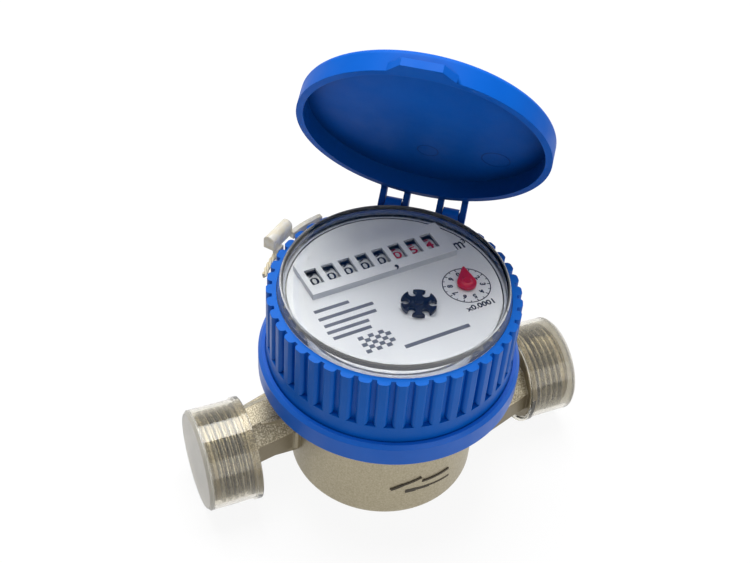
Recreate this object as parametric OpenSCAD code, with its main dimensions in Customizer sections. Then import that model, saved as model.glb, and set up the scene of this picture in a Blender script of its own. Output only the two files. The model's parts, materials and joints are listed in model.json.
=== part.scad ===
// Single-jet dry-dial water meter for a 15 mm pipe, with its lid open.
// Millimetres. +X runs along the pipe, +Z is up, origin at the centre of the flat base.

/* [Body casting] */
// Distance between the two pipe end faces
body_length = 110; // [104:1:130]
// Height of the pipe axis above the base
pipe_z = 14.9; // [14.9:0.1:16.5]
// Outside diameter of the measuring cup
cup_d = 53.4; // [52:0.2:56]
// Height of the cup up to the rim of its collar
cup_h = 41; // [40:0.5:44]
// Wall of the measuring cup
cup_wall = 4; // [3:0.1:4.5]
// Thickness of the cup floor
floor_t = 3.6; // [3:0.1:4]
// Radius on the bottom edge of the cup
cup_edge_r = 2.2; // [1:0.1:3]
// Outside diameter of the pipe thread, over its crests
thread_d = 26.4; // [24:0.1:27]
// Depth of the pipe thread
thread_depth = 1.16; // [0.8:0.02:1.3]
// Length of the threaded spigots
spigot_len = 13.5; // [13:0.5:14.5]
// Width across the flats of the cast necks
neck_flats = 15.8; // [15:0.2:17]
// Sideways shift of the necks at the spigots, for the slanted water way
neck_shift = 3.5; // [2.5:0.1:4]
// Further sideways shift of the necks at the cup
neck_slant = 4; // [3:0.1:5]
// Bore of the water way
bore_d = 13; // [10:0.5:15]
// Bore of the jet that strikes the impeller
jet_d = 8; // [6:0.5:9]
// Distance of the jet from the middle of the cup, at the impeller
jet_offset = 10.4; // [9:0.2:11.4]

/* [Blue rings] */
// Height of the collar of the casting inside the lower ring
collar_h = 6; // [5:0.5:6.5]
// Height of the smooth lower ring
base_ring_h = 7.3; // [7:0.1:8.5]
// Reach of the lower ring beyond the ribbed ring
base_ring_step = 2.2; // [2:0.1:4]
// Height of the ribbed ring
drum_h = 22.2; // [21:0.1:24]
// Wall of the ribbed ring between its ribs and the register
drum_wall = 2.4; // [2:0.1:2.6]
// Height of the plain foot of the ribbed ring
band_h = 6.2; // [4:0.1:10]
// Number of grooves round the ribbed ring
groove_count = 44; // [30:1:50]
// Width of a groove
groove_w = 1.2; // [1:0.1:1.8]
// Depth of a groove
groove_depth = 1.5; // [0.8:0.1:1.6]

/* [Lens and dial] */
// Amount by which the side of the lens leans in
lens_draft = 0.65; // [0.3:0.05:1.2]
// Height of the lens above the ribbed ring
lens_rise = 3.8; // [3:0.1:4.2]
// Thickness of the lens
lens_t = 2.4; // [1.8:0.1:2.6]
// Diameter of the dial
dial_d = 57.2; // [52:0.2:64]
// Width of the ledge round the dial that carries the gasket and the lens
dial_seat = 2.7; // [2.5:0.1:3.5]
// Thickness of the dial
dial_t = 1; // [0.8:0.1:1.2]
// Depth of the dial below the top face of the ribbed ring
dial_drop = 1.2; // [0.8:0.1:1.6]
// Turn of the dial away from the pipe axis, degrees
dial_turn = 5; // [0:0.5:90]
// Length of the raised counter block
block_w = 43.5; // [42:0.5:45]
// Width of the raised counter block
block_d = 12.5; // [12:0.5:15]
// Height of the raised counter block above the dial
block_h = 1.9; // [1.6:0.1:2]
// Distance of the counter row from the dial's centre
counter_y = 11.5; // [11.2:0.1:12.6]
// Distance between neighbouring number rollers
roller_pitch = 5; // [4.8:0.05:5.1]
// Diameter of a number roller
roller_d = 10.4; // [9.6:0.1:10.6]
// Width of a counter window
window_w = 3.4; // [2.6:0.1:3.8]
// Length of a counter window
window_l = 5.9; // [4:0.1:6.6]
// Radius of the star wheel
star_r = 4.8; // [4:0.1:5]
// Length of the pointer from its pivot
pointer_l = 6; // [5:0.1:7]

/* [Lid] */
// Reach of the lid beyond the ribbed ring
lid_overhang = 0; // [0:0.1:1]
// Height of the lid
lid_h = 6.6; // [6.2:0.1:8]
// Wall of the lid rim
lid_wall = 1.9; // [1.6:0.1:2.4]
// Opening angle at which the lid stands, degrees
lid_open = 63.5; // [0:0.5:110]
// Direction of the hinge in plan, from the pipe axis, degrees
hinge_turn = 54.5; // [20:0.5:100]
// Width of the thumb tab
tab_w = 17; // [10:0.5:22]
// Reach of the thumb tab beyond the rim
tab_reach = 2.6; // [1.5:0.1:4]

/* [Transit caps] */
// Wall of a transit cap
cap_wall = 1; // [0.8:0.1:1.2]
// Thickness of the end of a transit cap
cap_end_t = 1.3; // [0.8:0.1:2]
// Length of a transit cap
cap_len = 15; // [12:0.5:16]

/* [Hidden] */
$fn = 72;
eps = 0.01;
// Clearances: turning fits, pressed seats, loose seats and gaps between separate pieces
run_gap = 0.05;
seat_gap = 0.1;
loose_gap = 0.3;

// Body casting
cup_r = cup_d / 2;
chamber_r = cup_r - cup_wall;
ledge_w = 2;
ledge_drop = 11;
ledge_z = cup_h - ledge_drop;
collar_step = 2.2;
collar_r = cup_r + collar_step;
base_ring_z = cup_h - collar_h;
collar_z = base_ring_z - 2;
thread_r = thread_d / 2;
spigot_x = body_length / 2 - spigot_len;
land_w = 2.2;
neck_start = cup_r - 5;
neck_half = neck_flats / 2;
neck_corner = neck_half * tan(22.5);
web_turn = 46;
web_root = (cup_r - 0.1) * [cos(web_turn), sin(web_turn)];
web_half = neck_corner - 0.2;
gusset_top = neck_half - 0.1;
gusset_len = 15.6;
gusset_h = 7.2;
bead_r = 1.3;
bead_h = 7;
jet_start = spigot_x + 0.3;
jet_lead = 4;
jet_shift = 1.8;
jet_end = 14;

// Strainer in the inlet bore
strainer_flange_t = 1.2;
strainer_flange_r = bore_d / 2 + 1.2;
strainer_r = bore_d / 2 - 0.25;
strainer_len = 13;

// Pressure plate and clamp ring
plate_t = 3.6;
plate_r = chamber_r + ledge_w - seat_gap;
oring_r = 0.9;
oring_drop = plate_t / 2;
clamp_t = 4;
clamp_hole_r = 19;

// Impeller
pivot_r = 0.8;
pivot_h = 4;
hub_r = 3.2;
hub_z = floor_t + 1.4;
blade_count = 8;
blade_t = 1.2;
blade_r = chamber_r - 2.6;
blade_z = pipe_z - 7;
blade_h = 14;
magnet_r = 4.4;
magnet_h = 3;
magnet_z = ledge_z - 1 - magnet_h;

// Heights of the rings and the register
ring_step = 1;
base_ring_top = base_ring_z + base_ring_h;
drum_z = base_ring_top - ring_step;
drum_top = drum_z + drum_h;
band_top = drum_z + band_h;
dial_top = drum_top - dial_drop;
house_top = dial_top - dial_t;
house_z = base_ring_top + loose_gap;
house_floor = 1.8;
house_wall = 1.5;
nose_r = 7;
nose_wall = 1.1;
nose_z = ledge_z + plate_t + loose_gap;

// Register frame plates
plate_seat = 1;
plate_gap = 9;
train_t = 1;
train_z = house_z + house_floor + plate_seat;
deck_z = train_z + plate_gap;
deck_gap = 1.3;
worm_arm_r = 1.7;
pillar_r = 1.5;
pillars = [[-18, -13], [6, -21.5], [10, 3], [-18, 3]];
arbor_r = 0.6;
spindle_r = 0.75;

// Number rollers in the counter
roller_count = 8;
counter_shift = -0.75;
block_shift = 0.3;

// Gear train: places in the dial's plane, tooth numbers and modules
spindle_at = [0, 0];
star_at = [2.75, -8];
pointer_at = [18.4, -6.2];
drive_teeth = 8;
first_teeth = 24;
last_teeth = 32;
worm_gear_teeth = 16;
counter_teeth = 20;
carry_teeth = 8;
addendum = 0.75;
dedendum = 1.05;
first_dist = norm(star_at - spindle_at);
first_module = 2 * first_dist / (drive_teeth + first_teeth);
counter_module = 0.3;
counter_gear_r = counter_module * counter_teeth / 2;
worm_r = 1.4;
worm_wave = 0.3;
worm_at = [roller_x(8) + roller_pitch / 2 + 1.1, counter_y - counter_gear_r - worm_r];
last_dist = norm(worm_at - pointer_at);
last_module = 2 * last_dist / (last_teeth + worm_gear_teeth);
idler_dist = last_module * (drive_teeth + last_teeth) / 2;
star_to_pointer = norm(pointer_at - star_at);
idler_along = (first_dist ^ 2 - idler_dist ^ 2 + star_to_pointer ^ 2) / (2 * star_to_pointer);
idler_aside = sqrt(first_dist ^ 2 - idler_along ^ 2);
star_dir = (pointer_at - star_at) / star_to_pointer;
idler_at = star_at + idler_along * star_dir + idler_aside * [star_dir.y, -star_dir.x];
gear_t = 1.2;
pinion_t = 2;
layer_step = 2.2;
last_layer = train_z + train_t + 0.6;
idler_layer = last_layer + layer_step;
first_layer = idler_layer + layer_step;
star_phase = mesh_phase(spindle_at, star_at, 0, drive_teeth, first_teeth);
idler_phase = mesh_phase(star_at, idler_at, star_phase, drive_teeth, first_teeth);
pointer_phase = mesh_phase(idler_at, pointer_at, idler_phase, drive_teeth, last_teeth);
worm_phase = mesh_phase(pointer_at, worm_at, pointer_phase, last_teeth, worm_gear_teeth);

// Counter
roller_r = roller_d / 2;
block_top = dial_top + block_h;
block_skin = 0.8;
roller_z = block_top - block_skin - 0.5 - roller_r;
roller_bore = 0.9;
flank_t = 0.65;
roller_face = roller_pitch - 2 * flank_t - 0.3;
carry_gear_r = roller_r - 0.3;
carry_module = carry_gear_r / (counter_teeth / 2 + addendum);
carry_dist = carry_module * (counter_teeth + carry_teeth) / 2;
carry_z = roller_z - carry_dist;
cheek_t = 1;
cheek_w = 5;
leg_start = 0.8;
leg_w = 2.4;
leg_top = last_layer + gear_t + 1;
cheek_left = roller_x(1) - roller_pitch / 2 - 1.2;
cheek_right = worm_at.x + 1.2;
star_z = dial_top + 0.5;
star_t = 1.1;
pointer_t = 0.8;
pointer_hub_r = 2.6;
pointer_angle = 69;

// Register housing: wide enough for the dial's seat, and for the gears and the counter inside
dial_r = dial_d / 2;
hand_reach = norm(pointer_at) + last_module * (last_teeth / 2 + addendum);
frame_reach = norm([cheek_left - cheek_t, counter_y + leg_start + leg_w]);
house_in = max(dial_r + dial_seat - house_wall, hand_reach + loose_gap, frame_reach + loose_gap);
house_r = house_in + house_wall;
dial_ledge = 1.4;
rim_in = dial_r - dial_ledge;
rim_h = 2;
rim_slope = 1.5;
train_edge = 2.2;
train_r = house_in - train_edge;

// Rings round the register
drum_in = house_r + loose_gap;
drum_r = drum_in + drum_wall;
base_ring_r = drum_r + base_ring_step;
groove_turn = 3.7;
rib_round = 1.3;
foot_round = 1.25;
lip_w = 0.35;
lip_t = 0.8;

// Gasket and lens
gasket_t = 1;
gasket_in = dial_r + loose_gap;
lens_z = house_top + gasket_t;
lens_top = drum_top + lens_rise;
lens_flange_r = drum_in - seat_gap;
lens_side_r = drum_in - lip_w - seat_gap;
lens_top_r = lens_side_r - lens_draft;
lens_flange_t = drum_top - lip_t - seat_gap - lens_z;
lens_hollow_gap = 1;
lens_bevel = 0.35;

// Lid and hinge
lid_r = drum_r + lid_overhang;
lid_rim_gap = 0.5;
lid_rim_z = drum_top + lid_rim_gap;
lid_lens_gap = 2;
lid_top_t = lid_h - (lens_top - lid_rim_z) - lid_lens_gap;
lid_round = 1.6;
tab_h = 2.2;
pin_r = 1;
knuckle_r = 2.2;
arm_r = 1.8;
arm_t = 1.8;
hook_w = 4.6;
hook_side = 8.4;
hinge_reach = 3;
hinge_drop = 2.5;
hinge_r = lid_r + hinge_reach;
hinge_z = drum_top - hinge_drop;
hinge_slot = 1.6;

// Transit caps
cap_in = thread_r + seat_gap;
cap_r = cap_in + cap_wall;
cap_lip = 0.45;
cap_lip_len = 1.6;
cap_gap = 0.2;

// Seal on the ribbed ring
seal_turn = 127.5;
seal_drop = 0.8;
seal_z = drum_top - seal_drop;
seal_bar_r = 1.7;
seal_bar_l = 9;
seal_bar_out = 0.9;
seal_bar_rise = 2.6;
seal_strap_t = 1.4;
seal_strap_h = 2.2;
seal_strap_rise = -0.9;
seal_leg_t = 1.8;
seal_leg_w = 2.6;
seal_leg_h = 4;
seal_leg_side = 1.2;
wire_r = 0.9;
wire_start = 6.8;
wire_sweep = 15;
wire_drop = 1.2;

// Angle that puts gear b in mesh with gear a, for tooth numbers na and nb
function mesh_phase(a, b, phase, na, nb) =
    let (line = atan2(b.y - a.y, b.x - a.x))
    line + 180 - (phase - line) * na / nb + 180 / nb;

// Place of a number roller along the counter, counted from the left
function roller_x(i) = (i - (roller_count + 1) / 2) * roller_pitch + counter_shift;

// Copies round the vertical axis
module around(count, r = 0) {
    for (i = [0 : count - 1])
        rotate([0, 0, i * 360 / count])
            translate([r, 0, 0])
                children();
}

// Puts a piece of the register in the dial's own directions
module in_dial() {
    rotate([0, 0, dial_turn])
        children();
}

// Puts a piece that turns on a shaft along the counter
module along_counter(x, z) {
    in_dial()
        translate([x, counter_y, z])
            rotate([90, 0, 90])
                children();
}

// Puts a piece in the hinge's own directions, with +X pointing out through the hinge
module at_hinge() {
    rotate([0, 0, hinge_turn])
        children();
}

// Gear outline with straight flanks and some backlash
module gear_outline(teeth, size, phase = 0) {
    tip = size * (teeth / 2 + addendum);
    root = size * (teeth / 2 - dedendum);
    step = 360 / teeth;
    corners = [[root, -0.27], [tip, -0.11], [tip, 0.11], [root, 0.27]];
    polygon([
        for (i = [0 : teeth - 1])
            for (c = corners)
                let (angle = phase + (i + c[1]) * step)
                c[0] * [cos(angle), sin(angle)]
    ]);
}

module gear(teeth, size, thick, phase = 0) {
    linear_extrude(thick)
        gear_outline(teeth, size, phase);
}

// One end of the casting, pointing along +X
module pipe_end() {
    neck();
    // Threaded spigot at its root diameter, with a plain land behind the thread
    translate([spigot_x, 0, pipe_z])
        rotate([0, 90, 0]) {
            cylinder(r = thread_r, h = land_w);
            translate([0, 0, land_w - eps])
                cylinder(r = thread_r - thread_depth, h = spigot_len - land_w - 1 + eps);
            translate([0, 0, spigot_len - 1])
                cylinder(r1 = thread_r - thread_depth, r2 = thread_r - thread_depth - 0.8, h = 1);
        }
    // Web on the outer side of the neck, running on to the side of the cup
    translate([0, 0, pipe_z - web_half])
        linear_extrude(2 * web_half)
            polygon([
                [spigot_x, -neck_shift],
                [spigot_x, -neck_shift - neck_half],
                [web_root.x, -web_root.y],
                [web_root.x, -neck_shift]
            ]);
    // Gussets above and below the inner side, and the bead where it meets the cup
    for (side = [-1, 1])
        translate([0, 0, pipe_z])
            mirror([0, 0, side < 0 ? 1 : 0])
                translate([0, neck_corner - neck_shift, 0])
                    rotate([90, 0, 0])
                        linear_extrude(neck_half)
                            polygon([
                                [neck_start + gusset_len, gusset_top],
                                [neck_start, gusset_top - gusset_h],
                                [neck_start, gusset_top]
                            ]);
    translate([sqrt(cup_r ^ 2 - bead_y() ^ 2) + bead_r / 2, bead_y(), pipe_z - bead_h / 2])
        cylinder(r = bead_r, h = bead_h);
}

// Place of the bead on the inner side of the neck
function bead_y() = neck_half - neck_shift - neck_slant * (spigot_x - cup_r) / (spigot_x - neck_start);

// Cast neck with eight flats, slanted in plan towards the side of the cup
module neck() {
    run = [neck_start - spigot_x, -neck_slant];
    translate([spigot_x, -neck_shift, pipe_z])
        rotate([0, 0, atan2(run.y, run.x)])
            rotate([0, 90, 0])
                rotate([0, 0, 22.5])
                    translate([0, 0, -land_w])
                        cylinder(d = neck_flats / cos(22.5), h = norm(run) + land_w, $fn = 8);
}

// Water way of one end: the bore in from the pipe, then the jet into the cup
module water_way() {
    slant = [jet_end - jet_start - jet_lead, jet_shift - jet_offset];
    translate([jet_start, 0, pipe_z])
        rotate([0, 90, 0])
            cylinder(d = bore_d, h = body_length / 2 - jet_start + 1);
    translate([jet_start + jet_lead, -jet_shift, pipe_z])
        rotate([0, 0, atan2(slant.y, slant.x)])
            rotate([0, 90, 0])
                cylinder(d = jet_d, h = norm(slant));
}

// Outside of the cup as one turned form
module cup_form() {
    rotate_extrude() {
        difference() {
            union() {
                square([cup_r, cup_h]);
                translate([0, collar_z])
                    square([collar_r, cup_h - collar_z]);
                polygon([
                    [0, collar_z - collar_step],
                    [cup_r, collar_z - collar_step],
                    [collar_r, collar_z],
                    [0, collar_z]
                ]);
            }
            translate([cup_r - cup_edge_r, -eps])
                square([cup_edge_r + 1, cup_edge_r + eps]);
        }
        translate([cup_r - cup_edge_r, cup_edge_r])
            intersection() {
                circle(cup_edge_r);
                translate([0, -cup_edge_r])
                    square(cup_edge_r + 1);
            }
    }
}

module meter_body() {
    color("#a89f86")
        difference() {
            union() {
                cup_form();
                pipe_end();
                rotate([0, 0, 180])
                    pipe_end();
            }
            // Measuring chamber, ledge for the pressure plate and thread for the clamp ring
            translate([0, 0, floor_t])
                cylinder(r = chamber_r, h = cup_h);
            translate([0, 0, ledge_z])
                cylinder(r = chamber_r + ledge_w, h = cup_h);
            water_way();
            rotate([0, 0, 180])
                water_way();
            // Seat for the flange of the strainer
            translate([body_length / 2 - strainer_flange_t, 0, pipe_z])
                rotate([0, 90, 0])
                    cylinder(r = strainer_flange_r + seat_gap, h = 2);
            // Hole for the impeller's pivot
            translate([0, 0, 1.4])
                cylinder(r = pivot_r + run_gap, h = floor_t);
        }
}

// Slotted basket that stands in the inlet bore
module inlet_strainer() {
    color("white")
        translate([body_length / 2, 0, pipe_z])
            rotate([0, -90, 0])
                difference() {
                    union() {
                        cylinder(r = strainer_flange_r, h = strainer_flange_t);
                        cylinder(r = strainer_r, h = strainer_len);
                    }
                    translate([0, 0, -1])
                        cylinder(r = strainer_r - 0.8, h = strainer_len);
                    for (a = [0 : 45 : 135])
                        rotate([0, 0, a])
                            translate([-bore_d, -0.7, strainer_flange_t + 1.6])
                                cube([2 * bore_d, 1.4, strainer_len - 5]);
                }
}

// Hardened pin that the impeller stands on
module lower_pivot() {
    color("silver")
        translate([0, 0, 1.4]) {
            cylinder(r = pivot_r, h = floor_t - 1.4 + pivot_h - 0.6);
            translate([0, 0, floor_t - 1.4 + pivot_h - 0.6])
                cylinder(r1 = pivot_r, r2 = 0.3, h = 0.6);
        }
}

module impeller() {
    top = magnet_z + magnet_h + 0.6;
    color("ivory")
        difference() {
            union() {
                translate([0, 0, hub_z])
                    cylinder(r = hub_r, h = magnet_z - 1 - hub_z);
                // Cup for the magnet, with a pivot on top
                translate([0, 0, magnet_z - 1])
                    cylinder(r = magnet_r + 0.8, h = top - magnet_z + 1);
                translate([0, 0, top - eps])
                    cylinder(r = pivot_r, h = ledge_z + 1.6 - top);
                around(blade_count)
                    translate([0, -blade_t / 2, blade_z])
                        cube([blade_r, blade_t, blade_h]);
            }
            translate([0, 0, hub_z - 1])
                cylinder(r = pivot_r + run_gap, h = floor_t + pivot_h - hub_z + 1 + run_gap);
            translate([0, 0, magnet_z])
                difference() {
                    cylinder(r = magnet_r, h = magnet_h);
                    cylinder(r = pivot_r + 0.6, h = magnet_h);
                }
        }
}

// Ring magnet moulded into the impeller
module impeller_magnet() {
    color("dimgray")
        translate([0, 0, magnet_z])
            difference() {
                cylinder(r = magnet_r, h = magnet_h);
                translate([0, 0, -1])
                    cylinder(r = pivot_r + 0.6, h = magnet_h + 2);
            }
}

// Disc that closes the wet chamber below the register
module pressure_plate() {
    color("burlywood")
        translate([0, 0, ledge_z])
            difference() {
                cylinder(r = plate_r, h = plate_t);
                translate([0, 0, -1])
                    cylinder(r = pivot_r + run_gap, h = 1 + 2);
                rotate_extrude()
                    translate([plate_r - oring_r, oring_drop])
                        square([2 * oring_r + run_gap, 2 * (oring_r + run_gap)], center = true);
            }
}

module plate_seal() {
    color("black")
        translate([0, 0, ledge_z + oring_drop])
            rotate_extrude()
                translate([plate_r - oring_r, 0])
                    circle(oring_r - run_gap, $fn = 32);
}

// Threaded ring that holds the pressure plate down
module clamp_ring() {
    color("goldenrod")
        translate([0, 0, ledge_z + plate_t])
            difference() {
                cylinder(r = plate_r, h = clamp_t);
                translate([0, 0, -1])
                    cylinder(r = clamp_hole_r, h = clamp_t + 2);
                // Spanner slots
                for (a = [0, 90])
                    rotate([0, 0, a])
                        translate([-plate_r - 1, -2, clamp_t - 2])
                            cube([2 * plate_r + 2, 4, 3]);
            }
}

// Smooth ring that snaps over the collar of the casting, hollow from below
module base_ring() {
    skin = 2;
    inner = collar_r + seat_gap;
    lip = 1.9;
    color("#2f62c4")
        translate([0, 0, base_ring_z])
            rotate_extrude($fn = 144)
                difference() {
                    polygon([
                        [inner, 0],
                        [base_ring_r - 0.5, 0],
                        [base_ring_r, 0.5],
                        [base_ring_r, base_ring_h - 1],
                        [base_ring_r - 0.9, base_ring_h],
                        [base_ring_r - lip, base_ring_h],
                        [base_ring_r - lip, base_ring_h - 1],
                        [inner - 2.4, base_ring_h - 1],
                        [inner - 2.4, cup_h - base_ring_z],
                        [inner, cup_h - base_ring_z]
                    ]);
                    translate([inner + skin, -1])
                        square([base_ring_r - inner - 2 * skin, base_ring_h - 1 - skin]);
                }
}

// One groove of the ribbed ring, with rounded rib edges and a flared foot
module groove() {
    half = groove_w / 2;
    floor_x = drum_r - groove_depth;
    translate([0, 0, band_top])
        linear_extrude(drum_top - band_top + 1) {
            translate([floor_x, -half])
                square([groove_depth + 1, groove_w]);
            difference() {
                translate([drum_r - rib_round, -half - rib_round])
                    square([rib_round + 1, groove_w + 2 * rib_round]);
                for (side = [-1, 1])
                    translate([drum_r - rib_round, side * (half + rib_round)])
                        circle(rib_round, $fn = 32);
            }
        }
    translate([floor_x, 0, band_top])
        rotate([90, 0, 90])
            linear_extrude(groove_depth + 1)
                difference() {
                    translate([-half - foot_round, 0])
                        square([groove_w + 2 * foot_round, foot_round]);
                    for (side = [-1, 1])
                        translate([side * (half + foot_round), foot_round])
                            circle(foot_round, $fn = 32);
                }
}

// Ribbed ring that holds the register down and carries the lid
module cover_ring() {
    color("#2b7de0")
        difference() {
            union() {
                difference() {
                    translate([0, 0, drum_z])
                        cylinder(r = drum_r, h = drum_h, $fn = 144);
                    at_hinge()
                        rotate([0, 0, groove_turn])
                            around(groove_count)
                                groove();
                }
                at_hinge()
                    for (side = [-1, 1])
                        translate([0, side * hook_side, 0])
                            hinge_hook();
            }
            translate([0, 0, drum_z - 1])
                cylinder(r = drum_in, h = drum_h - lip_t + 1, $fn = 144);
            translate([0, 0, drum_top - lip_t - eps])
                cylinder(r = drum_in - lip_w, h = lip_t + 1, $fn = 144);
        }
}

// Hook that the lid's pin snaps into
module hinge_hook() {
    root_x = sqrt(drum_in ^ 2 - (hook_side + hook_w / 2) ^ 2);
    translate([0, hook_w / 2, 0])
        rotate([90, 0, 0])
            linear_extrude(hook_w)
                difference() {
                    union() {
                        translate([hinge_r, hinge_z])
                            circle(knuckle_r);
                        polygon([
                            [root_x, hinge_z - knuckle_r - 3],
                            [hinge_r, hinge_z - knuckle_r],
                            [hinge_r, hinge_z + knuckle_r - 0.6],
                            [root_x, hinge_z + knuckle_r - 0.6]
                        ]);
                    }
                    translate([hinge_r, hinge_z])
                        circle(pin_r + run_gap);
                    translate([hinge_r, hinge_z])
                        rotate(20)
                            translate([0, -hinge_slot / 2])
                                square([2 * knuckle_r, hinge_slot]);
                }
}

// Cup that carries the register, with a nose for the follower magnet and a rim for the dial,
// cut away where the counter stands
module register_housing() {
    counter_end = cheek_right + cheek_t + loose_gap;
    counter_start = cheek_left - cheek_t - loose_gap;
    color("gainsboro")
        difference() {
            housing_form();
            in_dial()
                intersection() {
                    translate([counter_start, counter_y - roller_r, house_z + house_floor])
                        cube([counter_end - counter_start, 2 * roller_r + loose_gap, house_top]);
                    cylinder(r = house_in, h = house_top + 1);
                }
        }
}

module housing_form() {
    rotate_extrude()
        polygon([
            [0, nose_z],
            [nose_r, nose_z],
            [nose_r, house_z],
            [house_r, house_z],
            [house_r, house_top],
            [rim_in, house_top],
            [rim_in, house_top - rim_h],
            [house_in, house_top - rim_h - rim_slope],
            [house_in, house_z + house_floor],
            [nose_r - nose_wall, house_z + house_floor],
            [nose_r - nose_wall, nose_z + nose_wall],
            [0, nose_z + nose_wall]
        ]);
}

module lens_gasket() {
    color("#202020")
        translate([0, 0, house_top])
            difference() {
                cylinder(r = house_r - seat_gap, h = gasket_t);
                translate([0, 0, -1])
                    cylinder(r = gasket_in, h = gasket_t + 2);
            }
}

// Clear lens, hollow below, with a flange under the lip of the ribbed ring
module lens() {
    hollow_r = dial_r + lens_hollow_gap;
    color([0.85, 0.92, 0.95, 0.4])
        rotate_extrude($fn = 144)
            polygon([
                [0, lens_top - lens_t],
                [hollow_r, lens_top - lens_t],
                [hollow_r, lens_z],
                [lens_flange_r, lens_z],
                [lens_flange_r, lens_z + lens_flange_t],
                [lens_side_r, lens_z + lens_flange_t],
                [lens_side_r, drum_top],
                [lens_top_r, lens_top - lens_bevel],
                [lens_top_r - lens_bevel, lens_top],
                [0, lens_top]
            ]);
}

// Dial moulding with the raised block over the counter
module dial_plate() {
    color("whitesmoke")
        in_dial()
            difference() {
                union() {
                    translate([0, 0, house_top])
                        cylinder(r = dial_r, h = dial_t, $fn = 144);
                    intersection() {
                        translate([-block_w / 2 + block_shift, counter_y - block_d / 2, house_top])
                            cube([block_w, block_d, dial_t + block_h]);
                        cylinder(r = dial_r - 0.4, h = block_top + 1, $fn = 144);
                    }
                }
                // Space for the rollers under the block
                intersection() {
                    translate([-block_w / 2 + block_shift + 1, counter_y - block_d / 2 + 1, house_top - 1])
                        cube([block_w - 2, block_d - 2, block_top - block_skin - house_top + 1]);
                    cylinder(r = dial_r - 1.4, h = block_top + 1, $fn = 144);
                }
                for (i = [1 : roller_count])
                    translate([roller_x(i) - window_w / 2, counter_y - window_l / 2, dial_top])
                        cube([window_w, window_l, block_h + 1]);
                for (at = [star_at, pointer_at])
                    translate([at.x, at.y, house_top - 1])
                        cylinder(r = arbor_r + loose_gap, h = dial_t + 2);
            }
}

// Lower plate of the register, on three feet
module train_plate() {
    color("silver")
        in_dial()
            translate([0, 0, train_z])
                difference() {
                    union() {
                        cylinder(r = train_r, h = train_t);
                        around(3, train_r - 2.5)
                            translate([0, 0, -plate_seat])
                                cylinder(r = 1.6, h = plate_seat + eps, $fn = 32);
                    }
                    arbor_holes(train_t);
                    translate([0, 0, -1])
                        cylinder(r = spindle_r + run_gap, h = train_t + 2, $fn = 32);
                }
}

// Bearings for the four arbors in a plate
module arbor_holes(thick) {
    for (at = [star_at, idler_at, pointer_at, worm_at])
        translate([at.x, at.y, -1])
            cylinder(r = arbor_r + run_gap, h = thick + 2, $fn = 32);
}

// Upper plate of the register, clear of the counter
module deck_plate() {
    color("silver")
        in_dial()
            translate([0, 0, deck_z])
                difference() {
                    linear_extrude(train_t) {
                        intersection() {
                            circle(train_r);
                            translate([-train_r, -train_r])
                                square([2 * train_r, train_r + counter_y - roller_r - deck_gap]);
                        }
                        translate(worm_at)
                            circle(worm_arm_r, $fn = 32);
                        translate([worm_at.x - worm_arm_r, 0])
                            square([2 * worm_arm_r, worm_at.y]);
                    }
                    arbor_holes(train_t);
                }
}

module plate_pillars() {
    color("goldenrod")
        in_dial()
            for (at = pillars)
                translate([at.x, at.y, train_z + train_t])
                    cylinder(r = pillar_r, h = deck_z - train_z - train_t, $fn = 32);
}

// Bracket that carries the two shafts of the counter
module counter_frame() {
    foot_z = train_z + train_t;
    color("lightgray")
        in_dial()
            translate([0, counter_y, 0]) {
                translate([cheek_left - cheek_t, leg_start, foot_z])
                    cube([cheek_right - cheek_left + 2 * cheek_t, leg_w, cheek_t]);
                for (x = [cheek_left - cheek_t, cheek_right])
                    translate([x, 0, 0])
                        rotate([90, 0, 90])
                            linear_extrude(cheek_t)
                                difference() {
                                    union() {
                                        translate([leg_start, foot_z])
                                            square([leg_w, leg_top + eps - foot_z]);
                                        translate([-cheek_w / 2, leg_top])
                                            square([leg_start + leg_w + cheek_w / 2, roller_z - leg_top - 2]);
                                        translate([-cheek_w / 2, leg_top])
                                            square([cheek_w, roller_z - leg_top]);
                                        translate([0, roller_z])
                                            circle(cheek_w / 2);
                                    }
                                    translate([0, roller_z])
                                        circle(roller_bore + run_gap, $fn = 32);
                                    translate([0, carry_z])
                                        circle(arbor_r + run_gap, $fn = 32);
                                }
            }
}

// Shaft through both cheeks of the counter frame
module counter_shaft(r, z) {
    color("silver")
        along_counter(cheek_left - cheek_t, z)
            cylinder(r = r, h = cheek_right - cheek_left + 2 * cheek_t, $fn = 32);
}

module roller_shaft() {
    counter_shaft(roller_bore, roller_z);
}

module carry_shaft() {
    counter_shaft(arbor_r, carry_z);
}

// Spindle that the magnet turns, with the first pinion
module drive_spindle() {
    foot = nose_z + nose_wall + 0.2;
    color("ivory")
        in_dial() {
            translate([0, 0, foot])
                cylinder(r = spindle_r, h = deck_z - 0.2 - foot, $fn = 32);
            translate([0, 0, foot + 0.6])
                cylinder(r = magnet_r + 0.6, h = 1);
            translate([0, 0, first_layer - 0.3])
                gear(drive_teeth, first_module, pinion_t);
        }
}

// Magnet that follows the impeller through the pressure plate
module follower_magnet() {
    color("dimgray")
        translate([0, 0, nose_z + nose_wall + 1.8])
            difference() {
                cylinder(r = magnet_r, h = magnet_h);
                translate([0, 0, -1])
                    cylinder(r = spindle_r + run_gap, h = magnet_h + 2, $fn = 32);
            }
}

// Arbor from the lower plate up to a given height
module arbor(top) {
    translate([0, 0, train_z + 0.1])
        cylinder(r = arbor_r, h = top - train_z - 0.1, $fn = 32);
}

module star_arbor() {
    color("ivory")
        in_dial()
            translate(star_at) {
                arbor(star_z);
                translate([0, 0, first_layer])
                    gear(first_teeth, first_module, gear_t, star_phase);
                translate([0, 0, idler_layer - 0.2])
                    gear(drive_teeth, first_module, layer_step + 0.2 + eps, star_phase);
            }
}

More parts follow.
